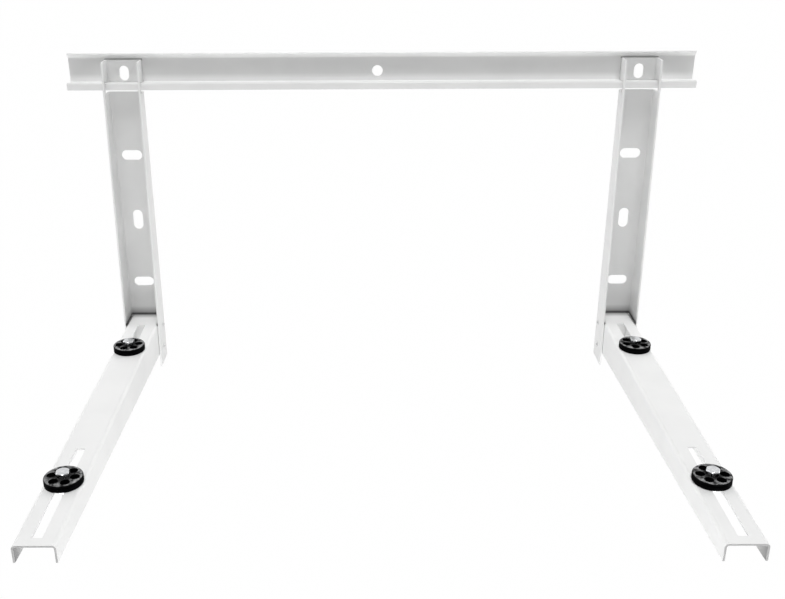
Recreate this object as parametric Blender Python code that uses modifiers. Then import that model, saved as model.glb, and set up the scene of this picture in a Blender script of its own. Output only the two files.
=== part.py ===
"""Wall bracket for the outdoor unit of an air conditioner.

A folded crossbar is fixed flat to the wall. Two upright channels hook over its
bottom ledge through a window near their top end and hang down the wall. A long
arm channel is nested in the lower end of each upright, joined by four blind
rivets, and carries two rubber dampers, each clamped by a hexagon bolt, a washer
and a nut through a long slot.

Frame: X runs along the crossbar, the wall is the plane Y = 0 and the bracket
stands on its -Y side, Z points up. The origin lies on the wall face of the
crossbar at mid-length, just below the centre hole. Units are metres.
"""

from math import cos, pi, radians, sin, sqrt, tan

import bmesh
import bpy
from mathutils import Matrix, Vector

# Sheet metal and fits
SHEET = 0.002
BEND_INNER = 0.002
BAR_BEND_INNER = 0.001
BEND_SEGMENTS = 4
GAP = 0.0003
NEST_CLEARANCE = 0.0005
HOLE_SEGMENTS = 24

# Crossbar
BAR_LENGTH = 0.800
WEB_ABOVE_ORIGIN = 0.0265
WEB_HEIGHT = 0.0326
FLARE_REACH = 0.0065
FLARE_RISE = 0.0048
LEDGE_REACH = 0.0212
LEDGE_RISE = 0.0024
LIP_DROP = 0.0085
CENTRE_HOLE_RADIUS = 0.0068
CENTRE_HOLE_OFFSET = -0.0048
CENTRE_HOLE_ABOVE_LEDGE = 0.0131
BAR_SLOT_CLEARANCE = 0.0008

# Uprights
UPRIGHT_FROM_BAR_END = 0.0706
UPRIGHT_WIDTH = 0.047
UPRIGHT_HEIGHT = 0.4165
UPRIGHT_BELOW_WEB_TOP = 0.003
UPRIGHT_DEPTH_TOP = 0.0248
UPRIGHT_DEPTH_BOTTOM = 0.0433
WINDOW_ABOVE_LEDGE = 0.0006
WINDOW_BELOW_LIP = 0.0048
WINDOW_FRONT_CLEARANCE = 0.0010
TOP_SLOT_LENGTH = 0.0185
TOP_SLOT_WIDTH = 0.012
TOP_SLOT_WALL = 0.0019
WALL_SLOT_LENGTH = 0.027
WALL_SLOT_WIDTH = 0.013
UPPER_SLOT_DROP = 0.1243
MIDDLE_SLOT_DROP = 0.2137
LOWER_SLOT_DROP = 0.3040

# Arms
ARM_ABOVE_UPRIGHT_END = 0.0625
ARM_REACH = 0.535
ARM_DEPTH_WALL = 0.0475
ARM_DEPTH_FRONT = 0.0192
ARM_SLOT_WIDTH = 0.010
FRONT_SLOT_LENGTH = 0.1575
FRONT_SLOT_MARGIN = 0.0125
REAR_SLOT_LENGTH = 0.0895
REAR_SLOT_FROM_WALL = 0.0425

# Rivets
RIVET_RADIUS = 0.002
RIVET_HEAD_RADIUS = 0.0036
RIVET_HEAD_HEIGHT = 0.0010
RIVET_HEAD_ROUND = 0.0008
RIVET_TAIL_RADIUS = 0.0028
RIVET_TAIL_LENGTH = 0.0030
RIVET_BORE_RADIUS = 0.0012
RIVET_BORE_DEPTH = 0.0022
RIVET_SEGMENTS = 14
UPPER_RIVET_BELOW_ARM_TOP = 0.0105
LOWER_RIVET_ABOVE_ARM_EDGE = 0.0055
UPPER_RIVET_FROM_BACK = 0.0137
LOWER_RIVET_FROM_BACK = 0.0205

# Dampers
DAMPER_RADIUS = 0.0200
DAMPER_HEIGHT = 0.0080
DAMPER_TOP_ROUND = 0.0018
DAMPER_FOOT_ROUND = 0.0008
DAMPER_GROOVE_DEPTH = 0.0009
DAMPER_GROOVE_HEIGHT = 0.0014
DAMPER_GROOVE_BELOW_TOP = 0.0026
DAMPER_RIM = 0.0026
DAMPER_POCKETS = 6
DAMPER_WEB = 0.0027
DAMPER_POCKET_DEPTH = 0.0050
DAMPER_SEGMENTS = 32
POCKET_SEGMENTS = 14

# Bolts, washers and nuts
BOLT_RADIUS = 0.004
BOLT_LENGTH = 0.025
BOLT_BORE_CLEARANCE = 0.0003
HEX_ACROSS_FLATS = 0.013
HEAD_HEIGHT = 0.0053
NUT_HEIGHT = 0.0065
HEX_CHAMFER = radians(30)
CHAMFER_START = 0.98
CHAMFER_REACH = 1.02
BOLT_POINT = 0.0010
BOLT_SEGMENTS = 18
WASHER_RADIUS = 0.008
WASHER_HEIGHT = 0.0016
FRONT_BOLT_FROM_SLOT_END = 0.0920
REAR_BOLT_FROM_SLOT_END = 0.0115

# Turn of each damper and of each bolt head about its own axis
TURNS = {
    "left_rear": (radians(10), radians(-7)),
    "left_front": (radians(-7), radians(12)),
    "right_rear": (radians(20), radians(0)),
    "right_front": (radians(-3), radians(-25)),
}

# Places worked out from the sizes above
HALF_SHEET = SHEET / 2
UPRIGHT_SPACING = BAR_LENGTH - 2 * UPRIGHT_FROM_BAR_END
BEND_MID = BEND_INNER + HALF_SHEET
BAR_BEND_MID = BAR_BEND_INNER + HALF_SHEET
WEB_TOP = WEB_ABOVE_ORIGIN
LEDGE_TOP_AT_WEB = WEB_TOP - WEB_HEIGHT + HALF_SHEET
LEDGE_TOP_AT_LIP = LEDGE_TOP_AT_WEB + LEDGE_RISE
LIP_BOTTOM = LEDGE_TOP_AT_LIP - HALF_SHEET - LIP_DROP
UPRIGHT_BACK = SHEET + GAP
UPRIGHT_TOP = WEB_TOP - UPRIGHT_BELOW_WEB_TOP
UPRIGHT_BOTTOM = UPRIGHT_TOP - UPRIGHT_HEIGHT
WINDOW_TOP = LEDGE_TOP_AT_WEB + WINDOW_ABOVE_LEDGE
WINDOW_BOTTOM = LIP_BOTTOM - WINDOW_BELOW_LIP
WINDOW_REACH = LEDGE_REACH + WINDOW_FRONT_CLEARANCE
TOP_SLOT_CENTRE = WINDOW_TOP + TOP_SLOT_WALL + TOP_SLOT_LENGTH / 2
ARM_TOP = UPRIGHT_BOTTOM + ARM_ABOVE_UPRIGHT_END
ARM_WIDTH = UPRIGHT_WIDTH - 2 * SHEET - 2 * NEST_CLEARANCE
ARM_BACK = UPRIGHT_BACK + SHEET + BEND_INNER + GAP
FRONT_SLOT_END = ARM_REACH - FRONT_SLOT_MARGIN
REAR_SLOT_END = REAR_SLOT_FROM_WALL + REAR_SLOT_LENGTH
FRONT_BOLT = FRONT_SLOT_END - FRONT_BOLT_FROM_SLOT_END
REAR_BOLT = REAR_SLOT_END - REAR_BOLT_FROM_SLOT_END
BOLT_BORE = BOLT_RADIUS + BOLT_BORE_CLEARANCE
POCKET_SPREAD = 2 * sin(pi / DAMPER_POCKETS)
POCKET_RADIUS = ((DAMPER_RADIUS - DAMPER_RIM) * POCKET_SPREAD - DAMPER_WEB) / (2 + POCKET_SPREAD)
POCKET_CIRCLE = DAMPER_RADIUS - DAMPER_RIM - POCKET_RADIUS
CUT_MARGIN = 0.01


def clear_scene():
    """Remove every object that the file holds."""
    for item in list(bpy.data.objects):
        bpy.data.objects.remove(item, do_unlink=True)


def make_collection(name):
    """Return a new collection linked to the scene."""
    collection = bpy.data.collections.new(name)
    bpy.context.scene.collection.children.link(collection)
    return collection


def make_material(name, colour, roughness, metallic):
    """Return a material with a Principled shader set to the given finish."""
    material = bpy.data.materials.new(name)
    material.use_nodes = True
    shader = material.node_tree.nodes["Principled BSDF"]
    shader.inputs["Base Color"].default_value = (*colour, 1.0)
    shader.inputs["Roughness"].default_value = roughness
    shader.inputs["Metallic"].default_value = metallic
    material.diffuse_color = (*colour, 1.0)
    return material


def mesh_from(bm, name):
    """Write a bmesh to a new mesh."""
    mesh = bpy.data.meshes.new(name)
    bm.to_mesh(mesh)
    bm.free()
    return mesh


def add_object(name, mesh, collection, material=None):
    """Link a new object for a mesh and give it its material."""
    item = bpy.data.objects.new(name, mesh)
    collection.objects.link(item)
    if material is not None and not mesh.materials:
        mesh.materials.append(material)
    return item


def shade_round(mesh):
    """Shade a mesh smooth, apart from its sharp edges."""
    mesh.shade_smooth()
    mesh.set_sharp_from_angle(angle=radians(35))


def folded_sheet(name, start, end, bend, collection, material):
    """Fold a sheet along the lines that join two sections, point by point.

    start and end are the mid-surface of the sheet at its two ends, and bend is
    the radius of a square fold there. The folds are rounded first, and the
    sheet then gets its thickness on both sides.
    """
    bm = bmesh.new()
    near = [bm.verts.new(point) for point in start]
    for first, second in zip(near, near[1:]):
        bm.edges.new((first, second))
    result = bmesh.ops.extrude_edge_only(bm, edges=bm.edges[:])
    far = [item for item in result["geom"] if isinstance(item, bmesh.types.BMVert)]
    places = {tuple(Vector(a).to_tuple(6)): b for a, b in zip(start, end)}
    for vertex in far:
        vertex.co = places[vertex.co.to_tuple(6)]
    item = add_object(name, mesh_from(bm, name), collection, material)

    folds = item.modifiers.new("folds", "BEVEL")
    folds.width = bend
    folds.segments = BEND_SEGMENTS
    folds.limit_method = "ANGLE"
    folds.angle_limit = radians(20)
    folds.use_clamp_overlap = False

    thickness = item.modifiers.new("sheet", "SOLIDIFY")
    thickness.thickness = SHEET
    thickness.offset = 0.0
    thickness.use_even_offset = True
    return item


def cut(item, *cutters):
    """Cut each cutter out of an object."""
    for cutter in cutters:
        boolean = item.modifiers.new(cutter.name, "BOOLEAN")
        boolean.operation = "DIFFERENCE"
        boolean.solver = "EXACT"
        boolean.object = cutter


def make_cutter(name, mesh, cutters):
    """Link a mesh as a cutter, which shows as a wire and isn't rendered."""
    item = add_object(name, mesh, cutters)
    item.hide_render = True
    item.display_type = "WIRE"
    return item


def box_cutter(name, low, high, cutters):
    """Return a box cutter between two corners."""
    low, high = Vector(low), Vector(high)
    bm = bmesh.new()
    bmesh.ops.create_cube(bm, size=1.0)
    bmesh.ops.scale(bm, vec=high - low, verts=bm.verts)
    bmesh.ops.translate(bm, vec=(low + high) / 2, verts=bm.verts)
    return make_cutter(name, mesh_from(bm, name), cutters)


def wall_slot_cutter(name, x, z, length, width, upright, cutters):
    """Return a round-ended slot cutter through a web that stands on the wall.

    A round hole is a slot whose length equals its width.
    """
    depth = UPRIGHT_BACK + SHEET + 2 * CUT_MARGIN
    stretch = (length - width) / 2
    bm = bmesh.new()
    bmesh.ops.create_cone(bm, cap_ends=True, segments=HOLE_SEGMENTS, radius1=width / 2,
                          radius2=width / 2, depth=depth,
                          matrix=Matrix.Rotation(pi / HOLE_SEGMENTS, 4, "Z"))
    for vertex in bm.verts:
        vertex.co.x += stretch if vertex.co.x > 0 else -stretch
    if upright:
        bmesh.ops.rotate(bm, verts=bm.verts, matrix=Matrix.Rotation(pi / 2, 3, "Z"))
    bmesh.ops.rotate(bm, verts=bm.verts, matrix=Matrix.Rotation(pi / 2, 3, "X"))
    bmesh.ops.translate(bm, verts=bm.verts, vec=(x, 0.0, z))
    return make_cutter(name, mesh_from(bm, name), cutters)


def turned_mesh(name, profile, segments):
    """Turn a profile of (radius, height) points about the Z axis.

    The profile starts on the axis at the top, runs down the outer side and
    ends on the axis or, for a ring, where it began.
    """
    mesh = bpy.data.meshes.new(name)
    points = [(radius, 0.0, height) for radius, height in profile]
    edges = [(index, index + 1) for index in range(len(points) - 1)]
    if profile[0][0] > 0:
        edges.append((len(points) - 1, 0))
    mesh.from_pydata(points, edges, [])
    source = bpy.data.objects.new(name, mesh)
    bpy.context.scene.collection.objects.link(source)
    screw = source.modifiers.new("turn", "SCREW")
    screw.steps = segments
    screw.render_steps = segments
    screw.use_merge_vertices = True
    screw.merge_threshold = 0.00001
    bpy.context.view_layer.update()
    solid = bpy.data.meshes.new_from_object(
        source.evaluated_get(bpy.context.evaluated_depsgraph_get()))
    solid.name = name
    bpy.data.objects.remove(source)
    bpy.data.meshes.remove(mesh)
    shade_round(solid)
    return solid


def arc(centre, radius, start, stop, steps):
    """Return points on an arc in a plane, from one angle to another."""
    return [(centre[0] + radius * cos(start + (stop - start) * step / steps),
             centre[1] + radius * sin(start + (stop - start) * step / steps))
            for step in range(steps + 1)]


def make_crossbar(parts, cutters, paint):
    """Fold the crossbar and punch its centre hole and its two bolt slots."""
    y_web = -HALF_SHEET
    z_ledge_web = LEDGE_TOP_AT_WEB - HALF_SHEET
    y_lip = -(LEDGE_REACH - HALF_SHEET)
    section = [
        (-FLARE_REACH, WEB_TOP + FLARE_RISE),
        (y_web, WEB_TOP),
        (y_web, z_ledge_web),
        (y_lip, z_ledge_web + LEDGE_RISE),
        (y_lip, LIP_BOTTOM),
    ]
    start = [(-BAR_LENGTH / 2, y, z) for y, z in section]
    end = [(BAR_LENGTH / 2, y, z) for y, z in section]
    bar = folded_sheet("crossbar", start, end, BAR_BEND_MID, parts, paint)
    hole = 2 * CENTRE_HOLE_RADIUS
    cut(bar, wall_slot_cutter("cut_centre_hole", CENTRE_HOLE_OFFSET,
                              LEDGE_TOP_AT_WEB + CENTRE_HOLE_ABOVE_LEDGE, hole, hole, False, cutters))
    for side, sign in (("left", -1), ("right", 1)):
        cut(bar, wall_slot_cutter(f"cut_bar_slot_{side}", sign * UPRIGHT_SPACING / 2, TOP_SLOT_CENTRE,
                                  TOP_SLOT_LENGTH + 2 * BAR_SLOT_CLEARANCE,
                                  TOP_SLOT_WIDTH + 2 * BAR_SLOT_CLEARANCE, True, cutters))
    return bar


def rivet_places():
    """Return the rivets' names with their distance from the wall and height."""
    upper_y = -(UPRIGHT_BACK + UPPER_RIVET_FROM_BACK)
    lower_y = -(UPRIGHT_BACK + LOWER_RIVET_FROM_BACK)
    return (("upper", upper_y, ARM_TOP - UPPER_RIVET_BELOW_ARM_TOP),
            ("lower", lower_y, arm_edge(lower_y) + LOWER_RIVET_ABOVE_ARM_EDGE))


def arm_edge(y):
    """Return the height of the arm's lower edge at a distance from the wall."""
    along = (-y - ARM_BACK) / (ARM_REACH - ARM_BACK)
    return ARM_TOP - ARM_DEPTH_WALL - (ARM_DEPTH_FRONT - ARM_DEPTH_WALL) * along


def rivet_hole_cutters(side, x, cutters):
    """Return cutters for the rivet holes, each through both channels."""
    result = []
    for level, y, z in rivet_places():
        name = f"cut_rivets_{side}_{level}"
        bm = bmesh.new()
        radius = RIVET_RADIUS + GAP
        bmesh.ops.create_cone(bm, cap_ends=True, segments=RIVET_SEGMENTS, radius1=radius, radius2=radius,
                              depth=UPRIGHT_WIDTH + 2 * CUT_MARGIN,
                              matrix=Matrix.Rotation(pi / 2, 4, "Y"))
        bmesh.ops.translate(bm, verts=bm.verts, vec=(x, y, z))
        result.append(make_cutter(name, mesh_from(bm, name), cutters))
    return result


def window_cutter(side, x, cutters):
    """Return the cutter for the window that hooks an upright over the crossbar.

    Its top is level through the web and then rises to the front with the ledge
    of the crossbar, so that the same gap is left above the whole ledge.
    """
    y_web = -(UPRIGHT_BACK + SHEET)
    slope = LEDGE_RISE / (LEDGE_REACH - SHEET)
    z_front = WINDOW_TOP + slope * (WINDOW_REACH + y_web)
    outline = [(CUT_MARGIN, WINDOW_TOP), (y_web, WINDOW_TOP), (-WINDOW_REACH, z_front),
               (-WINDOW_REACH, WINDOW_BOTTOM), (CUT_MARGIN, WINDOW_BOTTOM)]
    width = UPRIGHT_WIDTH + 2 * CUT_MARGIN
    bm = bmesh.new()
    face = bm.faces.new([bm.verts.new((x - width / 2, y, z)) for y, z in outline])
    lifted = bmesh.ops.extrude_face_region(bm, geom=[face])
    moved = [item for item in lifted["geom"] if isinstance(item, bmesh.types.BMVert)]
    bmesh.ops.translate(bm, verts=moved, vec=(width, 0.0, 0.0))
    bmesh.ops.recalc_face_normals(bm, faces=bm.faces)
    return make_cutter(f"cut_window_{side}", mesh_from(bm, f"cut_window_{side}"), cutters)


def make_upright(side, sign, rivet_cuts, parts, cutters, paint):
    """Fold one upright channel and cut its window, slots and rivet holes."""
    x = sign * UPRIGHT_SPACING / 2
    half = UPRIGHT_WIDTH / 2 - HALF_SHEET
    y_web = -(UPRIGHT_BACK + HALF_SHEET)

    def section(z, depth):
        y_edge = -(UPRIGHT_BACK + depth)
        return [(x - half, y_edge, z), (x - half, y_web, z), (x + half, y_web, z), (x + half, y_edge, z)]

    upright = folded_sheet(f"{side}_upright", section(UPRIGHT_TOP, UPRIGHT_DEPTH_TOP),
                           section(UPRIGHT_BOTTOM, UPRIGHT_DEPTH_BOTTOM), BEND_MID, parts, paint)
    cut(upright, window_cutter(side, x, cutters))
    cut(upright, wall_slot_cutter(f"cut_top_slot_{side}", x, TOP_SLOT_CENTRE,
                                  TOP_SLOT_LENGTH, TOP_SLOT_WIDTH, True, cutters))
    for level, drop, standing in (("upper", UPPER_SLOT_DROP, False),
                                  ("middle", MIDDLE_SLOT_DROP, True),
                                  ("lower", LOWER_SLOT_DROP, False)):
        cut(upright, wall_slot_cutter(f"cut_{level}_slot_{side}", x, UPRIGHT_TOP - drop,
                                      WALL_SLOT_LENGTH, WALL_SLOT_WIDTH, standing, cutters))
    cut(upright, *rivet_cuts)
    return upright


def make_arm(side, sign, rivet_cuts, parts, cutters, paint):
    """Fold one arm channel and cut its two bolt slots and its rivet holes."""
    x = sign * UPRIGHT_SPACING / 2
    half = ARM_WIDTH / 2 - HALF_SHEET
    z_web = ARM_TOP - HALF_SHEET

    def section(y):
        z_edge = arm_edge(y)
        return [(x - half, y, z_edge), (x - half, y, z_web), (x + half, y, z_web), (x + half, y, z_edge)]

    arm = folded_sheet(f"{side}_arm", section(-ARM_BACK), section(-ARM_REACH), BEND_MID, parts, paint)
    for level, far, length in (("front", FRONT_SLOT_END, FRONT_SLOT_LENGTH),
                               ("rear", REAR_SLOT_END, REAR_SLOT_LENGTH)):
        cut(arm, box_cutter(f"cut_arm_slot_{side}_{level}",
                            (x - ARM_SLOT_WIDTH / 2, -far, ARM_TOP - SHEET - CUT_MARGIN),
                            (x + ARM_SLOT_WIDTH / 2, length - far, ARM_TOP + CUT_MARGIN), cutters))
    cut(arm, *rivet_cuts)
    return arm


def rivet_mesh():
    """Turn a set blind rivet: its head lies at Z = 0, its tail points down."""
    grip = 2 * SHEET + NEST_CLEARANCE + GAP
    crown = RIVET_HEAD_HEIGHT
    profile = [(0.0, crown - RIVET_BORE_DEPTH), (RIVET_BORE_RADIUS, crown - RIVET_BORE_DEPTH),
               (RIVET_BORE_RADIUS, crown)]
    profile += arc((RIVET_HEAD_RADIUS - RIVET_HEAD_ROUND, crown - RIVET_HEAD_ROUND), RIVET_HEAD_ROUND,
                   pi / 2, 0, 2)
    profile += [(RIVET_HEAD_RADIUS, 0.0), (RIVET_RADIUS, 0.0), (RIVET_RADIUS, -grip)]
    bulge = RIVET_TAIL_LENGTH / 2
    profile += [(RIVET_RADIUS + (RIVET_TAIL_RADIUS - RIVET_RADIUS) * sin(angle),
                 -grip - bulge + bulge * cos(angle))
                for angle in (pi / 2, 3 * pi / 4, pi)]
    profile.append((0.0, -grip - RIVET_TAIL_LENGTH))
    return turned_mesh("rivet", profile, RIVET_SEGMENTS)


def make_rivets(side, sign, mesh, parts, metal):
    """Set four rivets: two through each flange of one upright."""
    centre = sign * UPRIGHT_SPACING / 2
    for flank, outward in (("outer", sign), ("inner", -sign)):
        for level, y, z in rivet_places():
            rivet = add_object(f"rivet_{side}_{flank}_{level}", mesh, parts, metal)
            x = centre + outward * (UPRIGHT_WIDTH / 2 + GAP)
            rivet.location = (x, y, z)
            rivet.rotation_euler = (0.0, outward * pi / 2, 0.0)


def damper_profile():
    """Return the damper's section as a closed ring round its bolt bore."""
    edge = DAMPER_TOP_ROUND
    foot = DAMPER_FOOT_ROUND
    top = DAMPER_HEIGHT
    groove_top = top - DAMPER_GROOVE_BELOW_TOP
    groove_bottom = groove_top - DAMPER_GROOVE_HEIGHT
    inside = DAMPER_RADIUS - DAMPER_GROOVE_DEPTH
    profile = [(BOLT_BORE, top)]
    profile += arc((DAMPER_RADIUS - edge, top - edge), edge, pi / 2, 0, 2)
    profile += [(DAMPER_RADIUS, groove_top), (inside, groove_top), (inside, groove_bottom),
                (DAMPER_RADIUS, groove_bottom)]
    profile += arc((DAMPER_RADIUS - foot, foot), foot, 0, -pi / 2, 1)
    profile.append((BOLT_BORE, 0.0))
    return profile


def pocket_cutter(cutters):
    """Return one cutter that holds the ring of round pockets about the bolt bore."""
    depth = DAMPER_POCKET_DEPTH + CUT_MARGIN
    middle = DAMPER_HEIGHT + CUT_MARGIN - depth / 2
    bm = bmesh.new()
    for pocket in range(DAMPER_POCKETS):
        angle = 2 * pi * pocket / DAMPER_POCKETS
        place = (POCKET_CIRCLE * cos(angle), POCKET_CIRCLE * sin(angle), middle)
        bmesh.ops.create_cone(bm, cap_ends=True, segments=POCKET_SEGMENTS, radius1=POCKET_RADIUS,
                              radius2=POCKET_RADIUS, depth=depth, matrix=Matrix.Translation(place))
    return make_cutter("cut_damper_pockets", mesh_from(bm, "cut_damper_pockets"), cutters)


def evaluated_mesh(item, name):
    """Return an object's mesh with its modifiers applied, and remove the object."""
    bpy.context.view_layer.update()
    mesh = bpy.data.meshes.new_from_object(
        item.evaluated_get(bpy.context.evaluated_depsgraph_get()))
    mesh.name = name
    old = item.data
    bpy.data.objects.remove(item)
    bpy.data.meshes.remove(old)
    return mesh


def damper_mesh(parts, cutters, rubber):
    """Turn the damper and cut its ring of pockets from above."""
    blank = add_object("damper_blank", turned_mesh("damper_blank", damper_profile(), DAMPER_SEGMENTS),
                       parts, rubber)
    cut(blank, pocket_cutter(cutters))
    mesh = evaluated_mesh(blank, "damper")
    shade_round(mesh)
    return mesh


def hex_prism(name, height, collection):
    """Return a hexagonal prism that stands on Z = 0."""
    bm = bmesh.new()
    radius = HEX_ACROSS_FLATS / sqrt(3)
    bmesh.ops.create_cone(bm, cap_ends=True, segments=6, radius1=radius, radius2=radius, depth=height,
                          matrix=Matrix.Translation((0.0, 0.0, height / 2)))
    return add_object(name, mesh_from(bm, name), collection)


def chamfer_turning(name, height, both, cutters):
    """Return the turned form that chamfers a hexagon's corners, as a cutter.

    The chamfer starts just inside the across-flats circle of the top face, and
    of the bottom face too when both is set, and runs just past the corners.
    """
    corner = HEX_ACROSS_FLATS / sqrt(3) * CHAMFER_REACH
    flat = HEX_ACROSS_FLATS / 2 * CHAMFER_START
    fall = (corner - flat) * tan(HEX_CHAMFER)
    profile = [(0.0, height), (flat, height), (corner, height - fall)]
    if both:
        profile += [(corner, fall), (flat, 0.0), (0.0, 0.0)]
    else:
        profile += [(corner, -CUT_MARGIN), (0.0, -CUT_MARGIN)]
    return make_cutter(name, turned_mesh(name, profile, BOLT_SEGMENTS), cutters)


def combine(item, other, operation, name):
    """Add a Boolean modifier with the given operation."""
    boolean = item.modifiers.new(name, "BOOLEAN")
    boolean.operation = operation
    boolean.solver = "EXACT"
    boolean.object = other


def bolt_mesh(parts, cutters):
    """Build the bolt: hexagon head from Z = 0 up, shank with a chamfered point."""
    head = hex_prism("bolt_blank", HEAD_HEIGHT, parts)
    combine(head, chamfer_turning("shape_head", HEAD_HEIGHT, False, cutters), "INTERSECT", "chamfer")
    profile = [(0.0, HEAD_HEIGHT / 2), (BOLT_RADIUS, HEAD_HEIGHT / 2),
               (BOLT_RADIUS, BOLT_POINT - BOLT_LENGTH), (BOLT_RADIUS - BOLT_POINT, -BOLT_LENGTH),
               (0.0, -BOLT_LENGTH)]
    shank = make_cutter("shape_shank", turned_mesh("shape_shank", profile, BOLT_SEGMENTS), cutters)
    combine(head, shank, "UNION", "shank")
    mesh = evaluated_mesh(head, "bolt")
    shade_round(mesh)
    return mesh


def nut_mesh(parts, cutters):
    """Build the nut: a hexagon chamfered on both faces, with its bore."""
    nut = hex_prism("nut_blank", NUT_HEIGHT, parts)
    combine(nut, chamfer_turning("shape_nut", NUT_HEIGHT, True, cutters), "INTERSECT", "chamfer")
    profile = [(0.0, NUT_HEIGHT + CUT_MARGIN), (BOLT_BORE, NUT_HEIGHT + CUT_MARGIN),
               (BOLT_BORE, -CUT_MARGIN), (0.0, -CUT_MARGIN)]
    cut(nut, make_cutter("cut_nut_bore", turned_mesh("cut_nut_bore", profile, BOLT_SEGMENTS), cutters))
    mesh = evaluated_mesh(nut, "nut")
    shade_round(mesh)
    return mesh


def washer_mesh():
    """Turn the flat washer, which stands on Z = 0."""
    profile = [(BOLT_BORE, WASHER_HEIGHT), (WASHER_RADIUS, WASHER_HEIGHT), (WASHER_RADIUS, 0.0),
               (BOLT_BORE, 0.0)]
    return turned_mesh("washer", profile, BOLT_SEGMENTS)


def make_foot_sets(meshes, parts, rubber, zinc):
    """Stand a damper, bolt, washer and nut at each of the four bolt places."""
    damper_base = ARM_TOP + GAP
    head_base = damper_base + DAMPER_HEIGHT + GAP
    washer_base = ARM_TOP - SHEET - GAP - WASHER_HEIGHT
    nut_base = washer_base - GAP - NUT_HEIGHT
    for side, sign in (("left", -1), ("right", 1)):
        for end, reach in (("rear", REAR_BOLT), ("front", FRONT_BOLT)):
            place = f"{side}_{end}"
            damper_turn, bolt_turn = TURNS[place]
            for kind, base, turn, material in (("damper", damper_base, damper_turn, rubber),
                                               ("bolt", head_base, bolt_turn, zinc),
                                               ("washer", washer_base, 0.0, zinc),
                                               ("nut", nut_base, bolt_turn, zinc)):
                item = add_object(f"{kind}_{place}", meshes[kind], parts, material)
                item.location = (sign * UPRIGHT_SPACING / 2, -reach, base)
                item.rotation_euler = (0.0, 0.0, turn)


def main():
    """Build the whole bracket."""
    clear_scene()
    parts = make_collection("outdoor_unit_bracket")
    cutters = make_collection("cutters")
    paint = make_material("white_painted_steel", (0.83, 0.83, 0.82), 0.38, 0.0)
    rubber = make_material("black_rubber", (0.012, 0.012, 0.013), 0.55, 0.0)
    zinc = make_material("zinc_plated_steel", (0.62, 0.63, 0.64), 0.32, 1.0)
    rivet_metal = make_material("rivet_steel", (0.78, 0.78, 0.78), 0.4, 0.3)

    make_crossbar(parts, cutters, paint)
    rivet = rivet_mesh()
    for side, sign in (("left", -1), ("right", 1)):
        rivet_cuts = rivet_hole_cutters(side, sign * UPRIGHT_SPACING / 2, cutters)
        make_upright(side, sign, rivet_cuts, parts, cutters, paint)
        make_arm(side, sign, rivet_cuts, parts, cutters, paint)
        make_rivets(side, sign, rivet, parts, rivet_metal)

    meshes = {
        "damper": damper_mesh(parts, cutters, rubber),
        "bolt": bolt_mesh(parts, cutters),
        "washer": washer_mesh(),
        "nut": nut_mesh(parts, cutters),
    }
    make_foot_sets(meshes, parts, rubber, zinc)
    bpy.context.view_layer.update()


main()
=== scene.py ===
"""Looks of a white wall bracket for the outdoor unit of an air conditioner.

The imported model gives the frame. Every sheet, damper, bolt, washer, nut and
rivet is built again here at a finer level and stands for its CAD node.
"""

import logging
import math
from dataclasses import dataclass, field
from enum import Enum
from functools import reduce

import bmesh
import bpy
from bmesh.types import BMesh, BMVert
from bpy.types import ID, Material, Mesh, Node, NodeSocket, NodeTree, Object
from mathutils import Matrix, Vector


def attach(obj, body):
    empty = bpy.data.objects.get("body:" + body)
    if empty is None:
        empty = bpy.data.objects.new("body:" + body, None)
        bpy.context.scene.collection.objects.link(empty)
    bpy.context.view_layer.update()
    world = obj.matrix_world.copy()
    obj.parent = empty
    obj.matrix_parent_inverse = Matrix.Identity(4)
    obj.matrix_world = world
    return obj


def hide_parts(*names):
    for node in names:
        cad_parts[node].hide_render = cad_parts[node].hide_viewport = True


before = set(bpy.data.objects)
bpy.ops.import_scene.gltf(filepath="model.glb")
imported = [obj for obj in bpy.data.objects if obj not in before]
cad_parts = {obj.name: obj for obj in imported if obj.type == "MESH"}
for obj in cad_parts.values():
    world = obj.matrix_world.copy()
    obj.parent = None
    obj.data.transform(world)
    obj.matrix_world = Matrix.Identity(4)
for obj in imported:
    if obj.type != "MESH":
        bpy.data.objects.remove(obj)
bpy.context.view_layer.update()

LOG = logging.getLogger("bracket")
BODY = "root"

# Metres in the shared frame, used by several pieces.
UPRIGHT_SPACING = 0.6588
ARM_TOP = -0.3305
REAR_BOLT = -0.1205
BOLT_SPACING = 0.310
BOLT_BORE = 0.0043
RIVET_ROWS = ((-0.0160, -0.3410), (-0.0228, -0.37163))

FREE_EDGE = "free_edge"
WHITE = (1.0, 1.0, 1.0, 1.0)
# The noise levels between which the roughness swings.
GLOSS_SPAN = (0.3, 0.7)
# The numbers of a Mix node's colour sockets.
MIX_FIRST, MIX_SECOND, MIX_RESULT = 6, 7, 2

Point2 = tuple[float, float]
Point3 = tuple[float, float, float]
Socket = NodeSocket
Inputs = dict[str | int, object]


class Side(Enum):
    """The two sides of the bracket, as seen from the front."""

    LEFT = "left"
    RIGHT = "right"

    @property
    def sign(self) -> int:
        """Give -1 on the left and +1 on the right, the direction along X."""
        return -1 if self is Side.LEFT else 1


class End(Enum):
    """The two damper places on an arm."""

    REAR = "rear"
    FRONT = "front"


class Slot(Enum):
    """Names of the material slots, which go into the pieces' names."""

    PAINT = "white_painted_steel"
    RIVET = "rivet_steel"
    RUBBER = "black_rubber"
    ZINC = "zinc_plated_steel"


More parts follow.
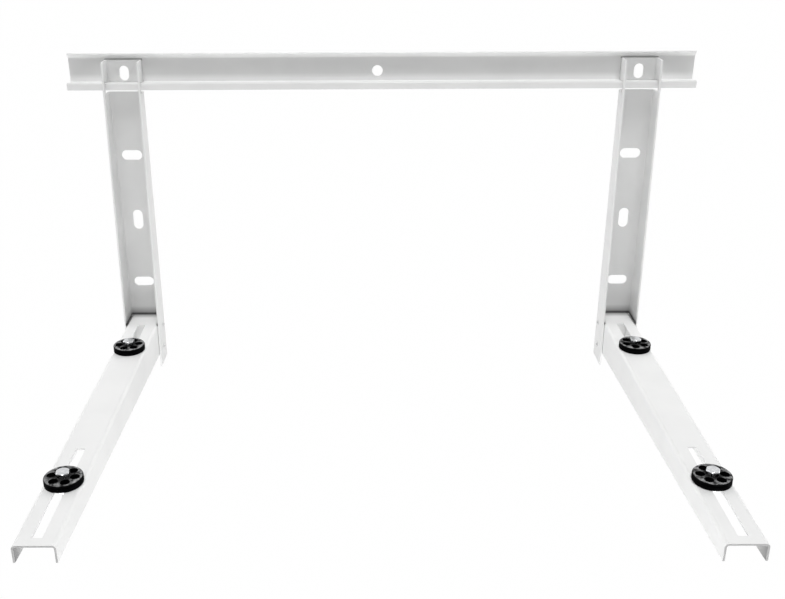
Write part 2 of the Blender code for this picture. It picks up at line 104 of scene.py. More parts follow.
class NodeGraph:
    """A small helper that adds and links nodes from left to right."""

    column_width = 220

    def __init__(self, tree: NodeTree) -> None:
        """Keep the tree and empty it."""
        self.tree, self.column = tree, 0
        self.tree.nodes.clear()

    def feed(self, node: Node, values: Inputs) -> None:
        """Fill a node's inputs.

        Args:
            node: The node.
            values: A plain value or a socket to link, for each input by name or number.
        """
        for name, value in values.items():
            if isinstance(value, Socket):
                self.tree.links.new(value, node.inputs[name])
            else:
                node.inputs[name].default_value = value

    def add(self, kind: str, values: Inputs | None = None, **settings: object) -> Node:
        """Add a node.

        Args:
            kind: The node's type name.
            values: What goes into its inputs, as feed takes it.
            settings: Properties of the node itself.

        Returns:
            The new node.
        """
        node = self.tree.nodes.new(kind)
        node.location = (self.column * self.column_width, 0)
        self.column += 1
        for name, value in settings.items():
            setattr(node, name, value)
        self.feed(node, values or {})
        return node

    def out(self, kind: str, values: Inputs | None = None, output: str | int = 0, **settings: object) -> Socket:
        """Add a node, as add does, and give one of its outputs by name or number."""
        return self.add(kind, values, **settings).outputs[output]

    def math(self, operation: str, first: Socket | float, second: Socket | float = 0.0) -> Socket:
        """Add a Math node and give its result."""
        return self.out("ShaderNodeMath", {0: first, 1: second}, operation=operation)

    def product(self, *factors: Socket | float) -> Socket:
        """Multiply two or more sockets or numbers."""
        return reduce(lambda first, second: self.math("MULTIPLY", first, second), factors)


class GeometryGraph(NodeGraph):
    """A geometry node tree with named inputs, which makes one plain mesh."""

    def __init__(self, name: str) -> None:
        """Make a tree that takes a mesh and a finish.

        Args:
            name: The tree's name.
        """
        super().__init__(bpy.data.node_groups.new(name, "GeometryNodeTree"))
        self.identifiers: dict[str, str] = {}
        self.tree.interface.new_socket("Result", in_out="OUTPUT", socket_type="NodeSocketGeometry")
        self.entry = self.tree.nodes.new("NodeGroupInput")
        self.mesh = self.take("Mesh", "NodeSocketGeometry")
        self.finish = self.take("Finish", "NodeSocketMaterial")

    def take(self, name: str, kind: str) -> Socket:
        """Add a named input.

        Args:
            name: The input's name.
            kind: The socket's type name.

        Returns:
            The socket that gives the input's value inside the tree.
        """
        socket = self.tree.interface.new_socket(name, in_out="INPUT", socket_type=kind)
        self.identifiers[name] = socket.identifier
        return self.entry.outputs[name]

    def number(self, name: str) -> Socket:
        """Add a named decimal input."""
        return self.take(name, "NodeSocketFloat")

    def whole(self, name: str) -> Socket:
        """Add a named whole-number input."""
        return self.take(name, "NodeSocketInt")

    def vector(self, name: str) -> Socket:
        """Add a named vector input."""
        return self.take(name, "NodeSocketVector")

    def close(self, last: Socket) -> None:
        """End the tree with Realize Instances and Set Material.

        Args:
            last: The socket of the finished geometry.
        """
        real = self.out("GeometryNodeRealizeInstances", {"Geometry": last})
        dressed = self.out("GeometryNodeSetMaterial", {"Geometry": real, "Material": self.finish})
        self.add("NodeGroupOutput", {"Result": dressed})

    def make(self, name: str, values: dict[str, object], mesh: Mesh | None = None) -> Mesh:
        """Run the tree once.

        Args:
            name: The new mesh's name.
            values: Values of the named inputs.
            mesh: The mesh that goes into the tree, if it takes one.

        Returns:
            The result as a plain mesh.
        """
        carrier = place_object(f"{name}_carrier", mesh or bpy.data.meshes.new(name))
        modifier = carrier.modifiers.new("nodes", "NODES")
        modifier.node_group = self.tree
        for key, value in values.items():
            modifier[self.identifiers[key]] = value
        return bake(carrier, name)


@dataclass(frozen=True)
class Noise:
    """Settings of a noise texture, with its scale per metre."""

    scale: float
    detail: float = 2.0
    roughness: float = 0.5


class ShaderGraph(NodeGraph):
    """The node tree of a new material."""

    def __init__(self, name: str) -> None:
        """Start a material.

        Args:
            name: The material's name.
        """
        self.material = bpy.data.materials.new(name)
        self.material.use_nodes = True
        super().__init__(self.material.node_tree)

    def place(self) -> Socket:
        """Give the Object coordinates."""
        return self.out("ShaderNodeTexCoord", output="Object")

    def noise(self, place: Socket, kind: Noise) -> Socket:
        """Add a noise texture and give its level."""
        values = {"Vector": place, "Scale": kind.scale, "Detail": kind.detail, "Roughness": kind.roughness}
        return self.out("ShaderNodeTexNoise", values, "Fac")

    def rescale(self, value: Socket, span: Point2, result: Point2 = (0.0, 1.0)) -> Socket:
        """Map a value from one span to another and hold it at the ends."""
        return self.out("ShaderNodeMapRange", {"Value": value, "From Min": span[0], "From Max": span[1],
                                               "To Min": result[0], "To Max": result[1]}, "Result")

    def ramp(self, level: Socket, span: Point2, low: Point3, high: Point3) -> Socket:
        """Add a colour ramp.

        Args:
            level: The socket that runs along it.
            span: The levels of the two colours.
            low: The first colour.
            high: The second colour.

        Returns:
            The colour's socket.
        """
        node = self.add("ShaderNodeValToRGB", {"Fac": level})
        for stop, position, colour in zip(node.color_ramp.elements, span, (low, high)):
            stop.position, stop.color = position, (*colour, 1.0)
        return node.outputs["Color"]

    def blend(self, share: Socket, first: Socket | Point3, second: Point3) -> Socket:
        """Mix two colours.

        Args:
            share: The socket of the second colour's share.
            first: The first colour or its socket.
            second: The second colour.

        Returns:
            The mixed colour's socket.
        """
        start = first if isinstance(first, Socket) else (*first, 1.0)
        values = {"Factor": share, MIX_FIRST: start, MIX_SECOND: (*second, 1.0)}
        return self.out("ShaderNodeMix", values, MIX_RESULT, data_type="RGBA")

    def bump(self, height: Socket, strength: float, distance: float) -> Socket:
        """Turn a height into a normal."""
        return self.out("ShaderNodeBump", {"Height": height, "Strength": strength, "Distance": distance}, "Normal")

    def gloss(self, level: Socket, roughness: float, swing: Point2) -> Socket:
        """Let the roughness swing with a noise level, by so much down and up."""
        return self.rescale(level, GLOSS_SPAN, (roughness + swing[0], roughness + swing[1]))

    def surface(self, colour: Socket, values: Inputs) -> Material:
        """End the tree with a Principled surface.

        Args:
            colour: Its base colour.
            values: Its other inputs.

        Returns:
            The finished material.
        """
        shader = self.out("ShaderNodeBsdfPrincipled", {"Base Color": colour, **values})
        self.add("ShaderNodeOutputMaterial", {"Surface": shader})
        return self.material


def place_object(name: str, data: ID) -> Object:
    """Link a new object for a mesh, a lamp or a camera.

    Args:
        name: The object's name.
        data: What it shows.

    Returns:
        The new object, at the origin.
    """
    item = bpy.data.objects.new(name, data)
    bpy.context.scene.collection.objects.link(item)
    return item


def bake(item: Object, name: str) -> Mesh:
    """Turn an object with modifiers into a plain mesh and remove the object.

    Args:
        item: The object.
        name: The new mesh's name.

    Returns:
        The evaluated mesh.
    """
    bpy.context.view_layer.update()
    graph = bpy.context.evaluated_depsgraph_get()
    mesh = bpy.data.meshes.new_from_object(item.evaluated_get(graph), depsgraph=graph)
    mesh.name = name
    bpy.data.objects.remove(item)
    return mesh


def mesh_of(bm: BMesh, name: str) -> Mesh:
    """Write a bmesh to a new mesh.

    Args:
        bm: The bmesh, which is freed.
        name: The mesh's name.

    Returns:
        The new mesh.
    """
    mesh = bpy.data.meshes.new(name)
    bm.to_mesh(mesh)
    bm.free()
    return mesh


def coat(mesh: Mesh, finish: Material) -> None:
    """Give a mesh one finish and drop any other."""
    mesh.materials.clear()
    mesh.materials.append(finish)


def shade(mesh: Mesh, sharp_from: float = 35.0) -> None:
    """Shade a mesh smooth, apart from edges sharper than an angle in degrees."""
    mesh.shade_smooth()
    mesh.set_sharp_from_angle(angle=math.radians(sharp_from))


def arc(centre: Point2, radius: float, start: float, stop: float, steps: int) -> list[Point2]:
    """Lay points on an arc, from one angle in degrees to another, ends included."""
    angles = [math.radians(start + (stop - start) * step / steps) for step in range(steps + 1)]
    return [(centre[0] + radius * math.cos(angle), centre[1] + radius * math.sin(angle)) for angle in angles]


def turned(name: str, profile: list[Point2], steps: int) -> Mesh:
    """Turn a profile about the Z axis into a closed mesh.

    Args:
        name: The mesh's name.
        profile: Points of radius and height, a ring if the first is off the axis.
        steps: The number of steps round the axis.

    Returns:
        The turned mesh.
    """
    bm = bmesh.new()
    rings: list[list[BMVert]] = []
    for radius, height in profile:
        count = steps if radius > 0 else 1
        angles = [2 * math.pi * step / count for step in range(count)]
        rings.append([bm.verts.new((radius * math.cos(a), radius * math.sin(a), height)) for a in angles])
    following = rings[1:] + (rings[:1] if profile[0][0] > 0 else [])
    for upper, lower in zip(rings, following):
        for step in range(steps):
            after = (step + 1) % steps
            if len(upper) == 1:
                bm.faces.new((upper[0], lower[step], lower[after]))
            elif len(lower) == 1:
                bm.faces.new((upper[step], lower[0], upper[after]))
            else:
                bm.faces.new((upper[step], lower[step], lower[after], upper[after]))
    bmesh.ops.recalc_face_normals(bm, faces=bm.faces)
    return mesh_of(bm, name)


def combine(item: Object, tools: list[Object], operation: str) -> None:
    """Add an exact Boolean modifier for each tool.

    Args:
        item: The object that is changed.
        tools: The objects that change it.
        operation: The Boolean operation.
    """
    for tool in tools:
        boolean = item.modifiers.new(tool.name, "BOOLEAN")
        boolean.operation = operation
        boolean.solver = "EXACT"
        boolean.object = tool


def round_edges(item: Object, width: float, steps: int, from_angle: float) -> None:
    """Round an object's edges and spread its normals by face area.

    Args:
        item: The object.
        width: Width of the rounding.
        steps: Segments of the rounding.
        from_angle: Only edges sharper than this, in degrees.
    """
    bevel = item.modifiers.new("edges", "BEVEL")
    bevel.width = width
    bevel.segments = steps
    bevel.limit_method = "ANGLE"
    bevel.angle_limit = math.radians(from_angle)
    bevel.use_clamp_overlap = False
    normals = item.modifiers.new("normals", "WEIGHTED_NORMAL")
    normals.keep_sharp = True


def discard(items: list[Object]) -> None:
    """Remove helper objects."""
    for item in items:
        bpy.data.objects.remove(item)


def keep_piece(name: str, mesh: Mesh, nodes: list[str]) -> None:
    """Place a finished mesh as a piece on the body, hide the CAD nodes that it stands for, and log it.

    Args:
        name: The piece's name.
        mesh: Its finished mesh.
        nodes: The CAD nodes that it replaces.
    """
    piece = place_object(name, mesh)
    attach(piece, BODY)
    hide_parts(*nodes)
    LOG.info("piece %s: %d faces, for %s", name, len(mesh.polygons), ", ".join(nodes))


def corner_radius(before: Point2, corner: Point2, after: Point2, reach: float) -> float:
    """Find the radius of a fold at a corner from how far it reaches along both its sides."""
    turn = (Vector(corner) - Vector(before)).angle(Vector(after) - Vector(corner))
    return reach / math.tan(turn / 2)


@dataclass
class FoldedSheet:
    """A sheet of steel that is folded, punched and coated.

    The middle of the sheet is laid by Geometry Nodes: a line of corners with
    rounded folds is drawn out along the run, and the free edges may shift
    towards the far end. The sheet then gets its thickness.
    """

    thickness: float = 0.002
    fold_steps: int = 9
    edge_round: float = 0.00030
    edge_steps: int = 3
    sharp_from: float = 40.0
    hole_steps: int = 72
    drill_steps: int = 24
    cut_margin: float = 0.01
    most_corners: int = 5

    def __post_init__(self) -> None:
        """Build the node tree once."""
        self.graph = self.build_graph()

    def build_graph(self) -> GeometryGraph:
        """Build the tree that folds a sheet.

        Returns:
            The tree with its named inputs.
        """
        graph = GeometryGraph("folded_sheet")
        line = graph.out("GeometryNodeMeshLine", {"Count": graph.whole("Corners")})
        index = graph.out("GeometryNodeInputIndex")
        places = graph.add("GeometryNodeIndexSwitch", data_type="VECTOR")
        radii = graph.add("GeometryNodeIndexSwitch", data_type="FLOAT")
        for switch in (places, radii):
            while len(switch.index_switch_items) < self.most_corners:
                switch.index_switch_items.new()
            graph.feed(switch, {"Index": index})
        for number in range(self.most_corners):
            graph.feed(places, {number + 1: graph.vector(f"Corner {number}")})
            graph.feed(radii, {number + 1: graph.number(f"Fold radius {number}")})
        laid = graph.out("GeometryNodeSetPosition", {"Geometry": line, "Position": places.outputs["Output"]})
        folded = graph.out("GeometryNodeFilletCurve", {
            "Curve": graph.out("GeometryNodeMeshToCurve", {"Mesh": laid}),
            "Radius": radii.outputs["Output"], "Count": graph.whole("Fold steps")}, mode="POLY")
        ends = graph.out("GeometryNodeCurveEndpointSelection")
        marked = graph.out("GeometryNodeStoreNamedAttribute", {
            "Geometry": folded, "Name": FREE_EDGE, "Value": ends}, data_type="BOOLEAN", domain="POINT")
        outline = graph.out("GeometryNodeCurveToMesh", {"Curve": marked})
        drawn = graph.add("GeometryNodeExtrudeMesh", {
            "Mesh": outline, "Offset": graph.vector("Run")}, mode="EDGES")
        mark = graph.out("GeometryNodeInputNamedAttribute", {"Name": FREE_EDGE}, "Attribute", data_type="BOOLEAN")
        far_edge = graph.out("FunctionNodeBooleanMath", {0: drawn.outputs["Top"], 1: mark}, operation="AND")
        tapered = graph.out("GeometryNodeSetPosition", {"Geometry": drawn.outputs["Mesh"], "Selection": far_edge,
                                                        "Offset": graph.vector("Edge shift")})
        graph.close(graph.out("GeometryNodeRemoveAttribute", {"Geometry": tapered, "Name": FREE_EDGE}))
        return graph

    def fold(self, node: str, corners: list[Point3], radii: list[float], run: Point3, edge_shift: Point3,
             finish: Material, cutters: list[Object]) -> None:
        """Fold, thicken, punch and finish one sheet and keep it.

        Args:
            node: The CAD node that it replaces.
            corners: The sheet's mid-line at its near end.
            radii: Radius of the round at each corner, ends included.
            run: The way from the near end to the far end.
            edge_shift: How far both free edges shift at the far end.
            finish: The sheet's material.
            cutters: Objects that are cut out of it, and then removed.
        """
        name = f"{node}_sheet"
        values: dict[str, object] = {"Finish": finish, "Corners": len(corners), "Fold steps": self.fold_steps,
                                     "Run": run, "Edge shift": edge_shift}
        for number, (corner, radius) in enumerate(zip(corners, radii)):
            values[f"Corner {number}"] = corner
            values[f"Fold radius {number}"] = radius
        item = place_object(f"{name}_work", self.graph.make(f"{name}_middle", values))
        sheet = item.modifiers.new("sheet", "SOLIDIFY")
        sheet.thickness = self.thickness
        sheet.offset = 0.0
        sheet.use_even_offset = True
        combine(item, cutters, "DIFFERENCE")
        punched = bake(item, f"{name}_punched")
        punched.shade_smooth()
        work = place_object(f"{name}_edges", punched)
        round_edges(work, self.edge_round, self.edge_steps, self.sharp_from)
        keep_piece(name, bake(work, name), [node])
        discard(cutters)

    def slot_tool(self, name: str, centre: Point2, length: float, width: float, upright: bool,
                  reach: float) -> Object:
        """Make a tool that punches a round-ended slot through a sheet on the wall.

        Args:
            name: The tool's name.
            centre: The slot's centre in X and Z.
            length: Its length, equal to the width for a round hole.
            width: Its width.
            upright: Whether the slot stands upright.
            reach: How far from the wall the tool reaches.

        Returns:
            The tool.
        """
        stretch = (length - width) / 2
        bm = bmesh.new()
        bmesh.ops.create_cone(bm, cap_ends=True, segments=self.hole_steps, radius1=width / 2,
                              radius2=width / 2, depth=2 * reach,
                              matrix=Matrix.Rotation(math.pi / self.hole_steps, 4, "Z"))
        for vertex in bm.verts:
            vertex.co.x += stretch if vertex.co.x > 0 else -stretch
        if upright:
            bmesh.ops.rotate(bm, verts=bm.verts, matrix=Matrix.Rotation(math.pi / 2, 3, "Z"))
        bmesh.ops.rotate(bm, verts=bm.verts, matrix=Matrix.Rotation(math.pi / 2, 3, "X"))
        bmesh.ops.translate(bm, verts=bm.verts, vec=(centre[0], 0.0, centre[1]))
        return place_object(name, mesh_of(bm, name))

    def block_tool(self, name: str, outline: list[Point2], low_x: float, high_x: float) -> Object:
        """Make a tool with one outline all along X.

        Args:
            name: The tool's name.
            outline: The outline in Y and Z.
            low_x: Where the tool starts.
            high_x: Where it ends.

        Returns:
            The tool.
        """
        bm = bmesh.new()
        face = bm.faces.new([bm.verts.new((low_x, y, z)) for y, z in outline])
        lifted = bmesh.ops.extrude_face_region(bm, geom=[face])
        moved = [item for item in lifted["geom"] if isinstance(item, BMVert)]
        bmesh.ops.translate(bm, verts=moved, vec=(high_x - low_x, 0.0, 0.0))
        bmesh.ops.recalc_face_normals(bm, faces=bm.faces)
        return place_object(name, mesh_of(bm, name))

    def drill_tool(self, name: str, low_x: float, high_x: float, y: float, z: float, radius: float) -> Object:
        """Make a round drill along X.

        Args:
            name: The tool's name.
            low_x: Where the drill starts.
            high_x: Where it ends.
            y: Its place along Y.
            z: Its height.
            radius: Its radius.

        Returns:
            The tool.
        """
        place = Matrix.Translation(((low_x + high_x) / 2, y, z)) @ Matrix.Rotation(math.pi / 2, 4, "Y")
        bm = bmesh.new()
        bmesh.ops.create_cone(bm, cap_ends=True, segments=self.drill_steps, radius1=radius, radius2=radius,
                              depth=high_x - low_x, matrix=place)
        return place_object(name, mesh_of(bm, name))


class Way(Enum):
    """What a band of the coat is measured along."""

    APART = "distance from the middle of the nearer upright and arm"
    DEPTH = "Y"
    HEIGHT = "Z"


Band = tuple[Way, float, float]


@dataclass(frozen=True)
class PaintedLightPatch:
    """A patch of grey or white over the coat, mostly painted shade and painted light.

    Each band says where along its way the change starts and where it is complete. The
    patch shows where all its bands meet.
    """

    grey: float
    bands: tuple[Band, ...]


BAR_FACE: Band = (Way.DEPTH, -0.0012, -0.0018)
WEB_FACE: Band = (Way.DEPTH, -0.0036, -0.0040)
BETWEEN_FLANGES: Band = (Way.APART, 0.0222, 0.0218)
ABOVE_ARM: Band = (Way.HEIGHT, -0.3325, -0.3312)

CROSSBAR_PAINTED_LIGHT = (
    # Painted shadow on the crossbar's web just above each upright's top, under the flare.
    PaintedLightPatch(0.40, ((Way.HEIGHT, 0.0218, 0.0226), (Way.HEIGHT, 0.0252, 0.0240), (Way.APART, 0.0245, 0.0235),
                     BAR_FACE)),
    # Painted light: a whiter band low on the crossbar's web, just above the ledge.
    PaintedLightPatch(0.95, ((Way.HEIGHT, 0.0055, -0.0010), (Way.DEPTH, -0.0036, -0.0026), BAR_FACE)),
)
UPRIGHT_PAINTED_SHADE = (
    # Painted shade on each upright's web, darkening down towards the arm's top.
    PaintedLightPatch(0.34, ((Way.HEIGHT, -0.3185, -0.3290), ABOVE_ARM, BETWEEN_FLANGES, WEB_FACE)),
    # Painted shade: a near-black line where each upright's web meets the arm.
    PaintedLightPatch(0.08, ((Way.HEIGHT, -0.3275, -0.3295), ABOVE_ARM, BETWEEN_FLANGES, WEB_FACE)),
)
ARM_PAINTED_SHADE = (
    # Painted shadow on the arm's top at its back end, against the upright.
    PaintedLightPatch(0.34, ((Way.DEPTH, -0.0190, -0.0080), (Way.HEIGHT, -0.3318, -0.3312))),
    # Painted shade: near-black lines along the arm's outer folds inside the upright's flanges.
    PaintedLightPatch(0.04, ((Way.APART, 0.0192, 0.0202), (Way.DEPTH, -0.0420, -0.0400))),
    # Painted shade on the inside of the arm's flanges, darkening towards the front end.
    PaintedLightPatch(0.30, ((Way.APART, 0.0197, 0.0193), (Way.HEIGHT, -0.3315, -0.3322), (Way.DEPTH, -0.4950, -0.5330))),
    # A darker grey on the arms' front cut edge.
    PaintedLightPatch(0.56, ((Way.DEPTH, -0.5345, -0.5347),)),
)


def middle_distance(graph: ShaderGraph, x: Socket) -> Socket:
    """Give the distance across from the middle of the nearer upright and arm, with a sign."""
    return graph.math("SUBTRACT", graph.math("ABSOLUTE", x), UPRIGHT_SPACING / 2)


@dataclass(frozen=True)
class Finish:
    """A finish with clouds in its colour, a gloss that swings and a fine relief.

    The gloss follows the clouds unless it has a smear of its own, and the relief may be
    stretched.
    """

    name: str
    dark: Point3
    light: Point3
    cloud: Noise
    cloud_span: Point2
    roughness: float
    gloss_swing: Point2
    relief: Noise
    relief_strength: float
    relief_height: float
    smear: Noise | None = None
    stretch: Point3 = (1.0, 1.0, 1.0)
    metallic: float = 0.0
    specular: float = 0.5
    refraction: float = 1.5

    def cover(self, graph: ShaderGraph, place: Socket, colour: Socket) -> Socket:
        """Give the finish's colour with nothing laid over it."""
        return colour

    def material(self) -> Material:
        """Build the material.

        Returns:
            A material that reads Object coordinates.
        """
        graph = ShaderGraph(self.name)
        place = graph.place()
        cloud = graph.noise(place, self.cloud)
        smear = graph.noise(place, self.smear) if self.smear else cloud
        stretched = graph.out("ShaderNodeMapping", {"Vector": place, "Scale": self.stretch})
        relief = graph.noise(stretched, self.relief)
        colour = graph.ramp(cloud, self.cloud_span, self.dark, self.light)
        return graph.surface(self.cover(graph, place, colour), {
            "Metallic": self.metallic, "IOR": self.refraction, "Specular IOR Level": self.specular,
            "Roughness": graph.gloss(smear, self.roughness, self.gloss_swing),
            "Normal": graph.bump(relief, self.relief_strength, self.relief_height)})


@dataclass(frozen=True)
class PowderCoat(Finish):
    """White powder coat: semi-gloss, with a fine orange peel, faint unevenness, and patches of painted shade and
    painted light where given.
    """

    name: str = "white_powder_coat"
    dark: Point3 = (0.795, 0.798, 0.795)
    light: Point3 = (0.83, 0.832, 0.828)
    cloud: Noise = Noise(14.0, 3.0, 0.55)
    cloud_span: Point2 = (0.36, 0.62)
    roughness: float = 0.36
    gloss_swing: Point2 = (-0.05, 0.06)
    relief: Noise = Noise(950.0)
    relief_strength: float = 0.35
    relief_height: float = 0.00002
    smear: Noise | None = Noise(60.0, 2.0, 0.6)
    specular: float = 0.42
    painted_light_patches: tuple[PaintedLightPatch, ...] = ()

    def cover(self, graph: ShaderGraph, place: Socket, colour: Socket) -> Socket:
        """Lay the patches of painted shade and painted light over the coat's colour.

        Args:
            graph: The material's node graph.
            place: The Object coordinates.
            colour: The coat's colour elsewhere.

        Returns:
            The colour with the painted shade and painted light in it.
        """
        x, y, z = graph.add("ShaderNodeSeparateXYZ", {"Vector": place}).outputs
        ways = {Way.APART: graph.math("ABSOLUTE", middle_distance(graph, x)), Way.DEPTH: y, Way.HEIGHT: z}
        for patch in self.painted_light_patches:
            share = graph.product(*(graph.rescale(ways[way], (start, stop)) for way, start, stop in patch.bands))
            colour = graph.blend(share, colour, (patch.grey,) * 3)
        return colour


@dataclass(frozen=True)
class MouldedRubber(Finish):
    """Black moulded rubber: a fine grain, and dust with a painted sheen that greys its flat top face, most at the
    rim.
    """

    name: str = "black_moulded_rubber"
    dark: Point3 = (0.0012, 0.0012, 0.0014)
    light: Point3 = (0.0040, 0.0040, 0.0044)
    cloud: Noise = Noise(180.0, 5.0, 0.6)
    cloud_span: Point2 = (0.42, 0.75)
    roughness: float = 0.42
    gloss_swing: Point2 = (-0.06, 0.1)
    relief: Noise = Noise(2600.0)
    relief_strength: float = 0.4
    relief_height: float = 0.00003
    specular: float = 0.008
    # Dust and a painted sheen: grey on the flat top face, most at the rim, where light falls from above.
    dust_and_sheen: Point3 = (0.36, 0.361, 0.363)
    dust_and_sheen_height: Point2 = (-0.3228, -0.3223)
    dust_and_sheen_radius: Point2 = (0.0085, 0.0180)
    dust_and_sheen_at_hub: float = 0.12
    patchy_span: Point2 = (0.40, 0.60)
    least_patchy: float = 0.06

    def cover(self, graph: ShaderGraph, place: Socket, colour: Socket) -> Socket:
        """Lay dust and a painted sheen over the rubber, in patches and most at the dampers' rims.

        Args:
            graph: The material's node graph.
            place: The Object coordinates.
            colour: The bare rubber's colour.

        Returns:
            The colour with the dust and painted sheen on it.
        """
        x, y, z = graph.add("ShaderNodeSeparateXYZ", {"Vector": place}).outputs
        along = graph.math("PINGPONG", graph.math("SUBTRACT", y, REAR_BOLT), BOLT_SPACING / 2)
        flat = graph.out("ShaderNodeCombineXYZ", {"X": middle_distance(graph, x), "Y": along})
        radius = graph.out("ShaderNodeVectorMath", {0: flat}, "Value", operation="LENGTH")
        share = graph.product(graph.rescale(z, self.dust_and_sheen_height),
                              graph.rescale(radius, self.dust_and_sheen_radius, (self.dust_and_sheen_at_hub, 1.0)),
                              graph.rescale(graph.noise(place, self.cloud), self.patchy_span,
                                            (self.least_patchy, 1.0)))
        return graph.blend(share, colour, self.dust_and_sheen)


@dataclass(frozen=True)
class ZincPlate(Finish):
    """Bright zinc plate on rolled steel: fine scratches and a faint mottle."""

    name: str = "bright_zinc_plate"
    dark: Point3 = (0.56, 0.57, 0.59)
    light: Point3 = (0.72, 0.73, 0.74)
    cloud: Noise = Noise(320.0, 4.0, 0.6)
    cloud_span: Point2 = (0.35, 0.65)
    roughness: float = 0.2
    gloss_swing: Point2 = (-0.08, 0.1)
    relief: Noise = Noise(2200.0)
    relief_strength: float = 0.3
    relief_height: float = 0.00002
    stretch: Point3 = (1.0, 1.0, 0.15)
    metallic: float = 1.0


@dataclass(frozen=True)
class RivetPaint:
    """The same white coat on the rivets, with near-black painted shade in each rivet's bore."""

    name: str = "white_rivet_paint"
    colour: Point3 = (0.74, 0.742, 0.74)
    # Painted shade: near-black within bore_radius of each rivet's axis.
    bore: Point3 = (0.06, 0.06, 0.062)
    bore_radius: float = 0.00135
    roughness: float = 0.36

    def material(self) -> Material:
        """Build the material.

        Returns:
            A material that reads Object coordinates.
        """
        graph = ShaderGraph(self.name)
        _, y, z = graph.add("ShaderNodeSeparateXYZ", {"Vector": graph.place()}).outputs
        flat = graph.out("ShaderNodeCombineXYZ", {"Y": y, "Z": z})
        upper, lower = (graph.out("ShaderNodeVectorMath", {0: flat, 1: (0.0, *row)}, "Value", operation="DISTANCE")
                        for row in RIVET_ROWS)
        inside = graph.math("LESS_THAN", graph.math("MINIMUM", upper, lower), self.bore_radius)
        return graph.surface(graph.blend(inside, self.colour, self.bore),
                             {"Metallic": 0.0, "IOR": 1.5, "Roughness": self.roughness})


@dataclass
class Workshop:
    """Holds the finishes, and gives each carried-over CAD node its own."""

    paint: Material = field(default_factory=lambda: PowderCoat().material())
    # The crossbar, uprights and arms get copies of the coat with painted shade and painted light laid over it.
    crossbar_paint_with_painted_light: Material = field(default_factory=lambda: PowderCoat(
        name="white_powder_coat_crossbar", painted_light_patches=CROSSBAR_PAINTED_LIGHT).material())
    upright_paint_with_painted_shade: Material = field(default_factory=lambda: PowderCoat(
        name="white_powder_coat_uprights", painted_light_patches=UPRIGHT_PAINTED_SHADE).material())
    arm_paint_with_painted_shade: Material = field(default_factory=lambda: PowderCoat(
        name="white_powder_coat_arms", painted_light_patches=ARM_PAINTED_SHADE).material())
    rivet_paint: Material = field(default_factory=lambda: RivetPaint().material())
    rubber: Material = field(default_factory=lambda: MouldedRubber().material())
    zinc: Material = field(default_factory=lambda: ZincPlate().material())

    def dress_nodes(self) -> None:
        """Give every carried-over CAD node its finish."""
        for name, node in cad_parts.items():
            material = self.paint
            if name.startswith("damper"):
                material = self.rubber
            elif name.startswith(("bolt", "washer", "nut")):
                material = self.zinc
            coat(node.data, material)


@dataclass
class Crossbar:
    """The bar on the wall: flared top edge, flat web, ledge and lip, with three holes."""

    length: float = 0.800
    web_top: float = 0.0265
    web_height: float = 0.0326
    flare_reach: float = 0.0065
    flare_rise: float = 0.0048
    ledge_reach: float = 0.0212
    ledge_rise: float = 0.0024
    lip_drop: float = 0.0085
    fold_reach: float = 0.0020
    hole_radius: float = 0.0068
    hole_offset: float = -0.0048
    hole_above_ledge: float = 0.0131
    slot_spacing: float = UPRIGHT_SPACING
    slot_length: float = 0.0201
    slot_width: float = 0.0136
    slot_above_ledge: float = 0.01175

    def make(self, sheet: FoldedSheet, finish: Material) -> None:
        """Fold and punch the crossbar and keep it.

        Args:
            sheet: The folded-sheet maker.
            finish: Its material.
        """
        half = sheet.thickness / 2
        ledge_top = self.web_top - self.web_height + half
        lip_y = -(self.ledge_reach - half)
        section: list[Point2] = [
            (-self.flare_reach, self.web_top + self.flare_rise), (-half, self.web_top), (-half, ledge_top - half),
            (lip_y, ledge_top - half + self.ledge_rise),
            (lip_y, ledge_top - half + self.ledge_rise - self.lip_drop),
        ]
        folds = zip(section, section[1:], section[2:])
        radii = [0.0, *(corner_radius(*three, self.fold_reach) for three in folds), 0.0]
        reach = 2 * self.ledge_reach
        hole = 2 * self.hole_radius
        tools = [sheet.slot_tool("centre_hole_tool", (self.hole_offset, ledge_top + self.hole_above_ledge),
                                 hole, hole, False, self.ledge_reach / 2)]
        for side in Side:
            centre = (side.sign * self.slot_spacing / 2, ledge_top + self.slot_above_ledge)
            tools.append(sheet.slot_tool(f"bar_slot_tool_{side.value}", centre, self.slot_length,
                                         self.slot_width, True, reach))
        sheet.fold("crossbar", [(-self.length / 2, y, z) for y, z in section], radii, (self.length, 0.0, 0.0),
                   (0.0, 0.0, 0.0), finish, tools)


